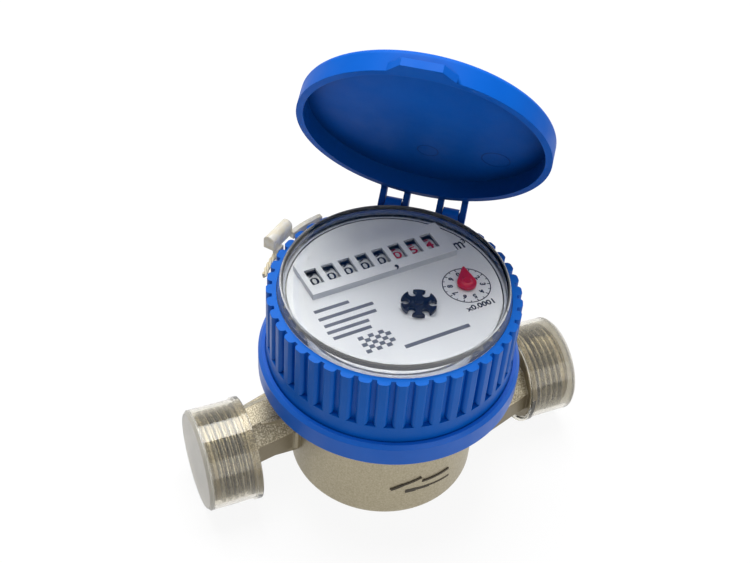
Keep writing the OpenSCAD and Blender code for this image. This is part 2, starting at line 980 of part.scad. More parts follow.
// Black star that shows the smallest flow
module star_wheel() {
    teeth = 6;
    notch_at = 0.74 * star_r;
    notch_r = 0.22 * star_r;
    notch_mouth = 0.34 * star_r;
    color("#1a1a1a")
        in_dial()
            translate([star_at.x, star_at.y, star_z]) {
                linear_extrude(star_t)
                    difference() {
                        circle(star_r);
                        for (i = [0 : teeth - 1])
                            rotate(30 + i * 360 / teeth) {
                                translate([notch_at, 0])
                                    circle(notch_r, $fn = 32);
                                translate([notch_at, -notch_mouth / 2])
                                    square([star_r, notch_mouth]);
                            }
                    }
                cylinder(r1 = 1.5, r2 = 1.1, h = star_t + 0.4);
            }
}

module idler_arbor() {
    color("ivory")
        in_dial()
            translate(idler_at) {
                arbor(deck_z + train_t);
                translate([0, 0, idler_layer])
                    gear(first_teeth, first_module, gear_t, idler_phase);
                translate([0, 0, last_layer - 0.2])
                    gear(drive_teeth, last_module, layer_step + 0.2 + eps, idler_phase);
            }
}

module pointer_arbor() {
    color("ivory")
        in_dial()
            translate(pointer_at) {
                arbor(star_z);
                translate([0, 0, last_layer])
                    gear(last_teeth, last_module, gear_t, pointer_phase);
            }
}

// Red hand of the small dial
module pointer() {
    color("#d61f28")
        in_dial()
            translate([pointer_at.x, pointer_at.y, star_z]) {
                linear_extrude(pointer_t)
                    hull() {
                        circle(pointer_hub_r, $fn = 48);
                        rotate(pointer_angle)
                            translate([pointer_l - 0.3, 0])
                                circle(0.3, $fn = 16);
                    }
                translate([0, 0, pointer_t - eps])
                    cylinder(r1 = 1.6, r2 = 1.1, h = 0.5);
            }
}

// Arbor with the worm that drives the last roller
module worm_arbor() {
    turn_h = PI * counter_module;
    turns = 3;
    worm_foot = roller_z - turns * turn_h / 2;
    color("ivory")
        in_dial()
            translate(worm_at) {
                arbor(worm_foot + eps);
                translate([0, 0, last_layer])
                    gear(worm_gear_teeth, last_module, gear_t, worm_phase);
                translate([0, 0, worm_foot])
                    linear_extrude(turns * turn_h, twist = 360 * turns, slices = 8 * turns, $fn = 14)
                        rotate(180 * turns)
                            translate([0, -worm_wave])
                                circle(worm_r - worm_wave);
            }
}

// Number roller: printed drum, driven gear on its right, carry teeth on its left
module roller(i) {
    last = i == roller_count;
    color("white")
        difference() {
            union() {
                along_counter(roller_x(i) - roller_face / 2, roller_z)
                    cylinder(r = roller_r, h = roller_face);
                along_counter(roller_x(i) + roller_face / 2 - eps, roller_z)
                    if (last)
                        cylinder(r = 2.4, h = worm_at.x - 0.5 - roller_x(i) - roller_face / 2 + 2 * eps);
                    else
                        gear(counter_teeth, carry_module, flank_t, 90);
                if (last)
                    along_counter(worm_at.x - 0.5, roller_z)
                        gear(counter_teeth, counter_module, 1, 180);
                if (i > 1)
                    along_counter(roller_x(i) - roller_face / 2 - flank_t, roller_z) {
                        cylinder(r = carry_gear_r - 1.5, h = flank_t + eps);
                        carry_teeth_pair();
                    }
            }
            along_counter(roller_x(i) - roller_pitch, roller_z)
                cylinder(r = roller_bore + run_gap, h = 3 * roller_pitch, $fn = 32);
        }
}

// Two teeth that turn the next pinion once a round, standing clear of it
module carry_teeth_pair() {
    linear_extrude(flank_t + eps)
        intersection() {
            gear_outline(counter_teeth, carry_module, 90);
            polygon([[0, 0], [2 * roller_r, roller_r], [2 * roller_r, 2 * roller_r], [roller_r, 2 * roller_r]]);
        }
}

// Small pinion between two rollers
module carry_pinion(i) {
    color("ivory")
        along_counter(roller_x(i) + roller_face / 2 + 0.05, carry_z)
            difference() {
                gear(carry_teeth, carry_module, 2 * flank_t + 0.2, 90 + 180 / carry_teeth);
                translate([0, 0, -1])
                    cylinder(r = arbor_r + run_gap, h = 4, $fn = 32);
            }
}

// Lid as it lies when it is closed
module closed_lid() {
    translate([0, 0, lid_rim_z])
        rotate_extrude($fn = 144)
            difference() {
                union() {
                    square([lid_r, lid_h - lid_round]);
                    square([lid_r - lid_round, lid_h]);
                    translate([lid_r - lid_round, lid_h - lid_round])
                        circle(lid_round);
                }
                translate([-1, -1])
                    square([lid_r - lid_wall + 1, lid_h - lid_top_t + 1]);
            }
    thumb_tab();
    at_hinge()
        for (side = [-1, 1])
            translate([0, side * hook_side, 0])
                hinge_arms();
}

// Tab for the thumb, opposite the hinge
module thumb_tab() {
    half = tab_w / 2;
    out = lid_r + tab_reach;
    side_x = sqrt(lid_r ^ 2 - half ^ 2);
    root_x = min(lid_r - 0.8 * lid_wall, side_x - 0.3);
    rotate([0, 0, hinge_turn + 180])
        translate([0, 0, lid_rim_z])
            linear_extrude(tab_h)
                polygon([
                    [root_x, -half],
                    [side_x, -half],
                    [out, -half + tab_reach + 0.8],
                    [out, half - tab_reach - 0.8],
                    [side_x, half],
                    [root_x, half]
                ]);
}

// Two arms with the pin moulded between them
module hinge_arms() {
    reach = hook_w / 2 + 0.25;
    for (side = [0, 1])
        mirror([0, side, 0])
            translate([0, reach + arm_t, 0])
                rotate([90, 0, 0])
                    linear_extrude(arm_t) {
                        translate([hinge_r, hinge_z])
                            circle(arm_r);
                        polygon([
                            [lid_r - lid_wall / 2, lid_rim_z + 0.7],
                            [lid_r + 0.3, lid_rim_z + 0.3],
                            [hinge_r - arm_r, hinge_z],
                            [hinge_r + arm_r, hinge_z],
                            [lid_r + 0.9, lid_rim_z + 3.6],
                            [lid_r - lid_wall / 2, lid_rim_z + 3.6]
                        ]);
                    }
    translate([hinge_r, 0, hinge_z])
        rotate([90, 0, 0])
            cylinder(r = pin_r, h = 2 * reach + eps, center = true);
}

module lid() {
    color("#1f7fe6")
        at_hinge()
            translate([hinge_r, 0, hinge_z])
                rotate([0, lid_open, 0])
                    translate([-hinge_r, 0, -hinge_z])
                        rotate([0, 0, -hinge_turn])
                            closed_lid();
}

// Transit cap with a flared lip, for the end that points along +X
module transit_cap() {
    end_x = body_length / 2 + cap_gap + cap_end_t;
    color([0.86, 0.86, 0.82, 0.6])
        translate([end_x, 0, pipe_z])
            rotate([0, -90, 0])
                rotate_extrude()
                    polygon([
                        [0, 0],
                        [cap_r - 0.8, 0],
                        [cap_r, 0.8],
                        [cap_r, cap_len - cap_lip_len],
                        [cap_r + cap_lip, cap_len - cap_lip_len],
                        [cap_r + cap_lip, cap_len],
                        [cap_in + cap_lip, cap_len],
                        [cap_in, cap_len - cap_lip_len],
                        [cap_in, cap_end_t],
                        [0, cap_end_t]
                    ]);
}

module inlet_cap() {
    transit_cap();
}

module outlet_cap() {
    mirror([1, 0, 0])
        transit_cap();
}

// Clear plastic seal that hangs on the ribbed ring
module seal_tag() {
    near = drum_r + loose_gap;
    color([0.95, 0.95, 0.9, 0.7])
        rotate([0, 0, seal_turn]) {
            // Cross bar, lying along the ring
            translate([near + seal_bar_out + seal_bar_r, 0, seal_z + seal_bar_rise])
                rotate([90, 0, 0])
                    linear_extrude(seal_bar_l, center = true)
                        union() {
                            circle(seal_bar_r);
                            translate([-seal_bar_r, -seal_bar_rise])
                                square([2 * seal_bar_r, seal_bar_rise]);
                        }
            // Strap on towards the hinge, and the short leg below the bar
            rotate([0, 0, -24])
                translate([0, 0, seal_z + seal_strap_rise])
                    rotate_extrude(angle = 18)
                        translate([near, 0])
                            square([seal_strap_t, seal_strap_h]);
            translate([near, seal_leg_side, seal_z - seal_leg_h + loose_gap])
                cube([seal_leg_t, seal_leg_w, seal_leg_h]);
        }
}

// Twisted sealing wire, from the leg of the seal round the ring
module seal_wire() {
    color("#c9b58a")
        rotate([0, 0, seal_turn + wire_start])
            translate([0, 0, seal_z - wire_drop])
                rotate_extrude(angle = wire_sweep)
                    translate([drum_r + loose_gap + wire_r, 0])
                        circle(wire_r, $fn = 32);
}

meter_body();
inlet_strainer();
lower_pivot();
impeller();
impeller_magnet();
pressure_plate();
plate_seal();
clamp_ring();
base_ring();
cover_ring();
register_housing();
lens_gasket();
lens();
dial_plate();
train_plate();
deck_plate();
plate_pillars();
counter_frame();
roller_shaft();
carry_shaft();
drive_spindle();
follower_magnet();
star_arbor();
star_wheel();
idler_arbor();
pointer_arbor();
pointer();
worm_arbor();
for (i = [1 : roller_count])
    roller(i);
for (i = [1 : roller_count - 1])
    carry_pinion(i);
lid();
inlet_cap();
outlet_cap();
seal_tag();
seal_wire();
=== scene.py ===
"""Looks of the water meter: finishes for the CAD parts, and its printed, cast and twisted details.

Blender works in metres. Sizes below are in millimetres and become metres through MM.
"""

import json
from math import atan2, cos, pi, radians, sin

import bmesh
import bpy
from mathutils import Matrix, Vector


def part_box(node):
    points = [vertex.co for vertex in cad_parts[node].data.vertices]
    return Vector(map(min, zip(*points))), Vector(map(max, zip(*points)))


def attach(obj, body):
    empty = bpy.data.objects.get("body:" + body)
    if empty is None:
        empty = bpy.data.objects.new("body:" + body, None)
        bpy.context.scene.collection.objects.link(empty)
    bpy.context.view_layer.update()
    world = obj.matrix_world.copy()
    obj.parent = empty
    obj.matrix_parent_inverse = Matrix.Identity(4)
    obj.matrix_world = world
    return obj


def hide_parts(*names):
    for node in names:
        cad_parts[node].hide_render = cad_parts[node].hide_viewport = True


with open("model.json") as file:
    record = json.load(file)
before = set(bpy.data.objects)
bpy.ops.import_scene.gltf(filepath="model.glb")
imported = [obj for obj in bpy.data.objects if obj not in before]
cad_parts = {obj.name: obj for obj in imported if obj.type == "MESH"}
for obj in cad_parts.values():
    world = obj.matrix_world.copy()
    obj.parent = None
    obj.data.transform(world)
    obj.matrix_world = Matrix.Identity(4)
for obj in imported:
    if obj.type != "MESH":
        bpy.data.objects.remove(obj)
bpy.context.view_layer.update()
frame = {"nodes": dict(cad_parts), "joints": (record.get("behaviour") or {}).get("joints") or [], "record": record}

MM = 0.001
UP = Vector((0, 0, 1))

# Camera, fitted to the photo
CAMERA_AZIMUTH = -0.4477
CAMERA_ELEVATION = 0.7607
CAMERA_ROLL = 0.0824
CAMERA_DISTANCE = 336.8
CAMERA_TARGET = Vector((2.34, 17.38, 50.0))
CAMERA_LENS = 57.26
SENSOR_WIDTH = 36.0

# Pipe thread, under the transit caps
THREAD_ROOT_R = 12.0
THREAD_CREST_R = 13.18
THREAD_PITCH = 1.814
THREAD_START = 44.0
THREAD_END = 54.0
THREAD_STEPS = 48
THREAD_PROFILE = [(-0.82, 0.0), (-0.14, 1.0), (0.14, 1.0), (0.82, 0.0)]
PIPE_Z = 14.9

# Flow arrow cast on the front of the cup: ends of its dark edge lines of painted shade, along the cup and up
CUP_R = 26.7
ARROW_LINES = [
    ((9.8, 13.4), (0.7, 13.6)),
    ((0.4, 15.4), (-4.9, 13.7)),
    ((-4.9, 13.7), (-8.3, 12.0)),
    ((10.2, 10.1), (3.2, 10.8)),
    ((3.2, 10.7), (-1.2, 11.0)),
    ((-1.0, 10.9), (-4.1, 10.8)),
]
ARROW_WIDTHS = (0.7, 0.7, 0.9, 0.75, 1.1, 1.5)
ARROW_OUTLINE = [
    (-8.6, 12.1), (0.6, 15.2), (0.7, 13.4), (9.8, 13.2), (10.2, 10.4), (-0.8, 11.3), (-4.2, 11.1),
]
ARROW_HEIGHT = 0.25
ARROW_ROOT = 0.3
ARROW_SLICE = 0.8

# Lens wall, and the gasket below it
LENS_RIM_R = 29.6
LENS_RIM_BLEND = 0.4
LENS_WALL_CLEAR = 0.82
GASKET_BLACK_R = 28.9
GASKET_BLEND = 0.12

# Print on the dial
BLOCK_HEIGHT = 1.9
PRINT_T = 0.02
DIGIT_H = 2.7
DIGIT_WIDTH = 1.42
DIGIT_BOLD = 0.05
READING = (0, 0, 0, 0, 0, 0, 5, 4)
RED_FROM = 6
BLACK_ROLL = -0.4
RED_ROLL = -0.1
SUBDIAL_R = 6.6
SUBDIAL_LINE = 0.28
SUBDIAL_DIGIT_R = 4.55
SUBDIAL_DIGIT_H = 1.5
LONG_TICK = (0.85, 0.14)
SHORT_TICK = (0.6, 0.12)
SCALE_H = 1.75
SCALE_FROM_HAND = (-0.2, -7.9)
UNIT_H = 4.0
UNIT_AT = (24.5, 9.1)
POWER_H = 1.8
POWER_AT = (26.5, 9.5)
COMMA_H = 4.8
COMMA_AT = (3.7, 8.3)

# Plain bars in place of small print: start, end and place up the dial
SHORT_BARS = [
    (-23.1, -13.1, 1.0), (-23.2, -7.5, -2.0), (-22.9, -8.0, -4.7), (-23.2, -11.3, -7.1), (-22.6, -11.8, -9.4),
]
SHORT_BAR_H = 1.1
LONG_BAR = (-7.3, -19.9, 11.6, -18.7)
CHEQUER_AT = (-17.0, -17.5)
CHEQUER_CELL = (1.45, 1.2)
CHEQUER_ROWS = 5
CHEQUER_COLUMNS = 6

# Marks inside the lid, in the plan of the closed lid: place and radius
LID_OPEN = 63.5
LID_INNER_Z = 69.3
LID_MARKS = [(8.9, 12.4, 3.0), (23.0, -0.2, 4.0)]
LID_MARK_LINE = 0.25

# Twisted seal wire
WIRE_R = 35.2
WIRE_START = 134.5
WIRE_SWEEP = 14.6
STRANDS = 3
STRAND_R = 0.36
STRAND_OFFSET = 0.41
STRAND_PITCH = 6.0
STRAND_STEPS = 120

# Stage and light, in metres and watts
FLOOR_HALF = 2
FLOOR_GREY = 0.5
FLOOR_GLOW = 1.13
FLOOR_GLOW_SHARE = 0.8
WORLD_LIGHT = 0.26
WORLD_SEEN = 1.0
LAMP_SIZE = 0.6
KEY_AT = (0.05, 0.25, 0.8)
KEY_POWER = 8.0
FILL_AT = (0.2, -0.75, 0.3)
FILL_POWER = 1.5

# Places taken from the frame
record = frame["record"]
nodes = frame["nodes"]
joints = {joint["name"]: joint for joint in frame["joints"]}
slot_of = {row["node"]: row["material_slot"] for row in record["subparts"]}
dial_right = Vector(joints["number_1_spin"]["axis"]).normalized()
dial_up = UP.cross(dial_right)
block_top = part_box("dial_plate")[1].z
dial_face = block_top - BLOCK_HEIGHT * MM


def linear(red, green, blue):
    """Colour from its sRGB numbers, 0 to 255."""
    def one(value):
        value /= 255
        return value / 12.92 if value <= 0.04045 else ((value + 0.055) / 1.055) ** 2.4
    return (one(red), one(green), one(blue), 1)


class Look:
    """A procedural material round one Principled shader."""

    def __init__(self, name, **sockets):
        self.material = bpy.data.materials.new(name)
        self.material.use_nodes = True
        self.tree = self.material.node_tree
        self.shader = self.tree.nodes["Principled BSDF"]
        self.place = self.add("ShaderNodeTexCoord").outputs["Object"]
        self.normal = None
        for socket, value in sockets.items():
            self.shader.inputs[socket.replace("_", " ")].default_value = value

    def add(self, kind, **settings):
        node = self.tree.nodes.new(kind)
        for name, value in settings.items():
            setattr(node, name, value)
        return node

    def noise(self, size, detail=3.0, stretch=(1, 1, 1)):
        """Cloudy factor from 0 to 1, with lumps of about this size in millimetres."""
        mapping = self.add("ShaderNodeMapping")
        mapping.inputs["Scale"].default_value = [s / (size * MM) for s in stretch]
        self.tree.links.new(self.place, mapping.inputs["Vector"])
        texture = self.add("ShaderNodeTexNoise")
        texture.inputs["Scale"].default_value = 1.0
        texture.inputs["Detail"].default_value = detail
        self.tree.links.new(mapping.outputs["Vector"], texture.inputs["Vector"])
        return texture.outputs["Fac"]

    def spread(self, factor, low, high, start=0.3, end=0.7):
        """The factor, stretched from start..end to low..high."""
        node = self.add("ShaderNodeMapRange")
        for name, value in (("From Min", start), ("From Max", end), ("To Min", low), ("To Max", high)):
            node.inputs[name].default_value = value
        self.tree.links.new(factor, node.inputs["Value"])
        return node.outputs["Result"]

    def beyond(self, axis, start, end):
        """0 to 1 as the distance from the middle along an axis goes from start to end, in millimetres."""
        parts = self.add("ShaderNodeSeparateXYZ")
        self.tree.links.new(self.place, parts.inputs["Vector"])
        size = self.add("ShaderNodeMath", operation="ABSOLUTE")
        self.tree.links.new(parts.outputs[axis], size.inputs[0])
        return self.spread(size.outputs[0], 0, 1, start * MM, end * MM)

    def facing_up(self, start, end):
        """0 to 1 as the surface turns from start to end, where 0 is upright and 1 looks straight up."""
        parts = self.add("ShaderNodeSeparateXYZ")
        self.tree.links.new(self.add("ShaderNodeTexCoord").outputs["Normal"], parts.inputs["Vector"])
        return self.spread(parts.outputs["Z"], 0, 1, start, end)

    def outside(self, start, end):
        """0 to 1 as the distance from the upright axis goes from start to end, in millimetres."""
        flat = self.add("ShaderNodeVectorMath", operation="MULTIPLY")
        flat.inputs[1].default_value = (1, 1, 0)
        self.tree.links.new(self.place, flat.inputs[0])
        size = self.add("ShaderNodeVectorMath", operation="LENGTH")
        self.tree.links.new(flat.outputs["Vector"], size.inputs[0])
        return self.spread(size.outputs["Value"], 0, 1, start * MM, end * MM)

    def hollow(self, reach, start, end):
        """Painted shade mask from ambient occlusion: 0 to 1 as what stands within reach, in millimetres, closes in
        from start to end (1 is open).
        """
        node = self.add("ShaderNodeAmbientOcclusion", samples=8)
        node.inputs["Distance"].default_value = reach * MM
        return self.spread(node.outputs["AO"], 0, 1, start, end)

    def times(self, first, second):
        node = self.add("ShaderNodeMath", operation="MULTIPLY")
        self.tree.links.new(first, node.inputs[0])
        self.tree.links.new(second, node.inputs[1])
        return node.outputs[0]

    def drive(self, socket, source):
        self.tree.links.new(source, self.shader.inputs[socket])

    def tint(self, factor, first, second):
        """Base colour that runs from one colour to another."""
        node = self.add("ShaderNodeMix", data_type="RGBA")
        colours = [s for s in node.inputs if s.type == "RGBA"]
        colours[0].default_value = first
        colours[1].default_value = second
        self.tree.links.new(factor, node.inputs["Factor"])
        self.drive("Base Color", next(s for s in node.outputs if s.type == "RGBA"))

    def blend(self, factor, colour):
        """Another colour over the base colour, where the factor is 1."""
        node = self.add("ShaderNodeMix", data_type="RGBA")
        colours = [s for s in node.inputs if s.type == "RGBA"]
        self.tree.links.new(self.shader.inputs["Base Color"].links[0].from_socket, colours[0])
        colours[1].default_value = colour
        self.tree.links.new(factor, node.inputs["Factor"])
        self.drive("Base Color", next(s for s in node.outputs if s.type == "RGBA"))

    def soften(self, radius):
        """Rounds the edges that the light sees, by this many millimetres."""
        node = self.add("ShaderNodeBevel", samples=6)
        node.inputs["Radius"].default_value = radius * MM
        self.normal = node.outputs["Normal"]
        self.drive("Normal", self.normal)

    def bump(self, factor, height):
        node = self.add("ShaderNodeBump")
        node.inputs["Distance"].default_value = height * MM
        self.tree.links.new(factor, node.inputs["Height"])
        if self.normal:
            self.tree.links.new(self.normal, node.inputs["Normal"])
        self.normal = node.outputs["Normal"]
        self.drive("Normal", self.normal)


def moulded(name, first, second, rough=(0.3, 0.42), edge=0.2, texture=0.004, **sockets):
    """Moulded plastic: a little uneven in colour and gloss, with soft edges and a fine skin."""
    look = Look(name, **sockets)
    look.tint(look.spread(look.noise(14), 0, 1), linear(*first), linear(*second))
    look.drive("Roughness", look.spread(look.noise(5), *rough))
    if edge:
        look.soften(edge)
    look.bump(look.noise(0.5, 2), texture)
    return look


def turned_metal(name, first, second, rough=(0.25, 0.4), lay=(1, 1, 7)):
    """Machined metal with a faint lay, across the axis along which the lay is fine."""
    look = Look(name, Metallic=1.0)
    look.tint(look.spread(look.noise(6), 0, 1), linear(*first), linear(*second))
    look.drive("Roughness", look.spread(look.noise(2, 2, lay), *rough))
    look.bump(look.noise(2, 2, lay), 0.006)
    return look


def cast_metal(name):
    """Nickelled brass casting: satin on the cup, rougher on the necks, with painted highlights: bright glinting
    speckles on the necks' upward faces.
    """
    look = Look(name, Metallic=0.6)
    neck = look.beyond("X", 25, 30)
    glint_speckle = look.spread(look.noise(0.4, 3), 0, 1, 0.42, 0.66)
    top = look.times(neck, look.facing_up(0.2, 0.7))
    look.tint(look.spread(look.noise(0.5, 3), 0, 1), linear(166, 155, 128), linear(190, 180, 154))
    look.blend(neck, linear(132, 122, 100))
    # painted highlight: bright speckles on the necks' faces that look up, where the light glints
    look.blend(look.times(top, glint_speckle), linear(204, 195, 170))
    look.drive("Roughness", look.spread(look.noise(1.2, 3), 0.36, 0.46))
    look.soften(0.4)
    look.bump(look.noise(0.35, 2), 0.012)
    look.bump(look.times(look.noise(0.5, 3), neck), 0.06)
    return look


def lens_plastic(name):
    """Clear lens whose side wall is a little cloudy."""
    look = Look(name, IOR=1.49)
    look.shader.inputs["Base Color"].default_value = linear(250, 252, 253)
    wall = look.outside(LENS_RIM_R, LENS_RIM_R + LENS_RIM_BLEND)
    look.drive("Transmission Weight", look.spread(wall, 1.0, LENS_WALL_CLEAR, 0, 1))
    look.drive("Roughness", look.spread(look.noise(8), 0.0, 0.03))
    return look


def bumpy_plastic(name):
    """Clear seal body with a lumpy surface, cream where it is thick."""
    look = Look(name, IOR=1.5)
    look.shader.inputs["Transmission Weight"].default_value = 0.3
    look.tint(look.spread(look.noise(1.6, 3), 0, 1, 0.4, 0.6), linear(255, 252, 243), linear(250, 241, 218))
    look.drive("Roughness", look.spread(look.noise(2), 0.08, 0.22))
    look.soften(0.5)
    look.bump(look.noise(1.3, 2), 0.25)
    return look


def cap_plastic(name):
    """Thin blown cap: its wall is nearly clear, and its end is milky."""
    look = Look(name, IOR=1.45)
    end = look.beyond("X", 54.8, 55.6)
    look.tint(look.spread(look.noise(6), 0, 1), linear(232, 228, 215), linear(241, 237, 227))
    look.drive("Transmission Weight", look.spread(end, 0.97, 0.6, 0, 1))
    look.drive("Roughness", look.spread(end, 0.03, 0.3, 0, 1))
    look.bump(look.noise(6, 2), 0.03)
    return look


def dial_silver(name):
    """Silver print on the dial's upper faces, and painted shade on the sides of its block: faces that turn away
    from straight up are painted a darker grey.
    """
    look = moulded(name, (236, 235, 234), (243, 242, 241), (0.34, 0.44), 0.1, 0.006)
    # painted shade: darker grey on the faces that do not look up
    look.blend(look.facing_up(0.7, 0.2), linear(198, 200, 205))
    return look


def edge_gasket(name):
    """Gasket under the lens: black beside the dial, pale towards its rim."""
    look = moulded(name, (18, 18, 19), (28, 28, 30), (0.4, 0.55))
    look.blend(look.outside(GASKET_BLACK_R, GASKET_BLACK_R + GASKET_BLEND), linear(206, 208, 213))
    return look


def lid_plastic(name):
    """Blue of the lid, with painted shade: a darker blue where its hollow is occluded."""
    look = moulded(name, (0, 94, 200), (2, 100, 208), (0.4, 0.52), Specular_IOR_Level=0.1)
    # painted shade: darker blue in the occluded hollow of the lid
    look.blend(look.hollow(40, 0.95, 0.35), linear(2, 54, 118))
    return look


cast_brass = cast_metal("cast_brass")
blue = moulded("blue_plastic", (2, 97, 196), (6, 103, 204), Specular_IOR_Level=0.15)
lid_blue = lid_plastic("lid_blue")
mark_blue = moulded("mark_blue", (2, 58, 130), (4, 64, 140), (0.4, 0.52), edge=0, Specular_IOR_Level=0.12)
ring_blue = moulded("ring_blue", (10, 100, 208), (16, 106, 216), Specular_IOR_Level=0.25)
print_black = moulded("print_black", (14, 15, 24), (24, 26, 36), edge=0)
print_red = moulded("print_red", (190, 14, 40), (206, 22, 48), edge=0)
print_grey = moulded("print_grey", (96, 98, 106), (120, 122, 130), edge=0)
# painted shade: dark colour of the lines along the flow arrow's edges
arrow_edge_shade = moulded("arrow_edge_shade", (48, 41, 32), (92, 82, 64), (0.6, 0.8), edge=0)
gasket = edge_gasket("gasket_edge")
thread_metal = turned_metal("thread_metal", (132, 127, 113), (168, 163, 148), (0.2, 0.3), (7, 1, 1))
looks = {
    "nickelled_brass": cast_brass,
    "blue_plastic": blue,
    "clear_lens": lens_plastic("clear_lens"),
    "dial_print": dial_silver("dial_silver"),
    "roller_plastic": moulded("roller_white", (214, 214, 210), (224, 224, 221)),
    "white_plastic": moulded("gear_white", (226, 222, 208), (234, 231, 220)),
    "black_plastic": moulded("star_black", (16, 16, 18), (26, 26, 29)),
    "red_plastic": moulded("hand_red", (196, 18, 38), (210, 26, 46), (0.25, 0.35)),
    "black_rubber": moulded("gasket_rubber", (18, 18, 19), (28, 28, 30), (0.5, 0.7)),
    "steel": turned_metal("plate_steel", (190, 190, 192), (206, 206, 208)),
    "brass": turned_metal("turned_brass", (206, 166, 88), (222, 184, 108)),
    "magnet": moulded("ferrite", (44, 44, 47), (62, 62, 66), (0.5, 0.65)),
    "cap_plastic": cap_plastic("cap_polythene"),
    "seal_plastic": bumpy_plastic("seal_plastic"),
    "seal_wire": moulded("wire_strands", (206, 192, 156), (226, 214, 182), (0.35, 0.5), edge=0),
}
own_looks = {"base_ring": ring_blue, "lid": lid_blue, "lens_gasket": gasket}
for name, node in nodes.items():
    look = own_looks.get(name, looks[slot_of[name]])
    if not node.data.materials:
        node.data.materials.append(look.material)
    for material_slot in node.material_slots:
        material_slot.material = look.material


class Shape:
    """Points and faces of one piece, gathered from several forms."""

    def __init__(self):
        self.points = []
        self.faces = []

    def add(self, form, place=Vector):
        points, faces = form
        start = len(self.points)
        self.points += [place(p) for p in points]
        self.faces += [[start + i for i in face] for face in faces]

    def piece(self, name, look, body, smooth=None):
        mesh = bpy.data.meshes.new(name)
        mesh.from_pydata(self.points, [], self.faces)
        mesh.materials.append(look.material)
        if smooth:
            mesh.shade_smooth()
            mesh.set_sharp_from_angle(angle=radians(smooth))
        thing = bpy.data.objects.new(name, mesh)
        bpy.context.scene.collection.objects.link(thing)
        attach(thing, body)
        return thing


def slab(outline, low, high):
    """Flat plate with this outline, in millimetres."""
    count = len(outline)
    points = [(x, y, low) for x, y in outline] + [(x, y, high) for x, y in outline]
    faces = [list(range(count))[::-1], list(range(count, 2 * count))]
    faces += [[i, (i + 1) % count, count + (i + 1) % count, count + i] for i in range(count)]
    return points, faces


def bar(x0, y0, x1, y1, low=-PRINT_T, high=PRINT_T):
    return slab([(x0, y0), (x1, y0), (x1, y1), (x0, y1)], low, high)


def hoop(inner, outer, low, high, steps=96):
    """Flat ring round the origin."""
    corners = [(inner, low), (outer, low), (outer, high), (inner, high)]
    points = [
        (r * cos(2 * pi * i / steps), r * sin(2 * pi * i / steps), z)
        for i in range(steps) for r, z in corners
    ]
    faces = [
        [4 * i + j, 4 * ((i + 1) % steps) + j, 4 * ((i + 1) % steps) + (j + 1) % 4, 4 * i + (j + 1) % 4]
        for i in range(steps) for j in range(4)
    ]
    return points, faces


def tube(centres, radius, sides=12):
    """Round tube along a line of points, closed at both ends."""
    points, faces = [], []
    for i, centre in enumerate(centres):
        ahead = centres[min(i + 1, len(centres) - 1)] - centres[max(i - 1, 0)]
        across = ahead.cross(UP).normalized()
        above = across.cross(ahead).normalized()
        for k in range(sides):
            turn = 2 * pi * k / sides
            points.append(centre + radius * (cos(turn) * across + sin(turn) * above))
    for i in range(len(centres) - 1):
        for k in range(sides):
            here, there = i * sides, (i + 1) * sides
            faces.append([here + k, here + (k + 1) % sides, there + (k + 1) % sides, there + k])
    faces += [list(range(sides))[::-1], list(range(len(points) - sides, len(points)))]
    return points, faces


def lettering(text, height, width=1.0, bold=0.0):
    """Solid letters of this height in millimetres, centred on the origin."""
    curve = bpy.data.curves.new("letters", "FONT")
    curve.body = text
    curve.align_x = "CENTER"
    curve.size = height / 0.73
    curve.extrude = PRINT_T
    curve.offset = bold
    curve.resolution_u = 3
    thing = bpy.data.objects.new("letters", curve)
    bpy.context.scene.collection.objects.link(thing)
    mesh = bpy.data.meshes.new_from_object(thing.evaluated_get(bpy.context.evaluated_depsgraph_get()))
    points = [(v.co.x * width, v.co.y - height / 2, v.co.z) for v in mesh.vertices]
    faces = [list(p.vertices) for p in mesh.polygons]
    bpy.data.objects.remove(thing)
    bpy.data.curves.remove(curve)
    bpy.data.meshes.remove(mesh)
    return points, faces


def sliced(form, axis, step):
    """The same form, cut every step along an axis, so that it can follow a curve."""
    points, faces = form
    work = bmesh.new()
    made = [work.verts.new(p) for p in points]
    for face in faces:
        work.faces.new([made[i] for i in face])
    bmesh.ops.remove_doubles(work, verts=work.verts, dist=1e-5)
    low = min(p[axis] for p in points)
    high = max(p[axis] for p in points)
    normal = Vector((axis == 0, axis == 1, axis == 2))
    for i in range(1, int((high - low) / step) + 1):
        bmesh.ops.bisect_plane(
            work, geom=work.verts[:] + work.edges[:] + work.faces[:], dist=1e-5,
            plane_co=normal * (low + i * step), plane_no=normal,
        )
    work.verts.index_update()
    result = [v.co.copy() for v in work.verts], [[v.index for v in f.verts] for f in work.faces]
    work.free()
    return result


def on_dial(point, height=dial_face):
    """A point of the dial's own plan, in millimetres, put on the dial or on the block over the counter."""
    x, y, z = point
    return MM * (x * dial_right + y * dial_up) + (height + MM * (z + PRINT_T / 2)) * UP


def in_dial(name):
    """Where a joint stands in the dial's plan, in millimetres."""
    at = Vector(joints[name]["pos_m"]) / MM
    return at.dot(dial_right), at.dot(dial_up)


def moved(form, x, y, turn=0.0):
    """A flat form, turned about the origin and then moved."""
    points, faces = form
    c, s = cos(turn), sin(turn)
    return [(x + c * p[0] - s * p[1], y + s * p[0] + c * p[1], p[2]) for p in points], faces


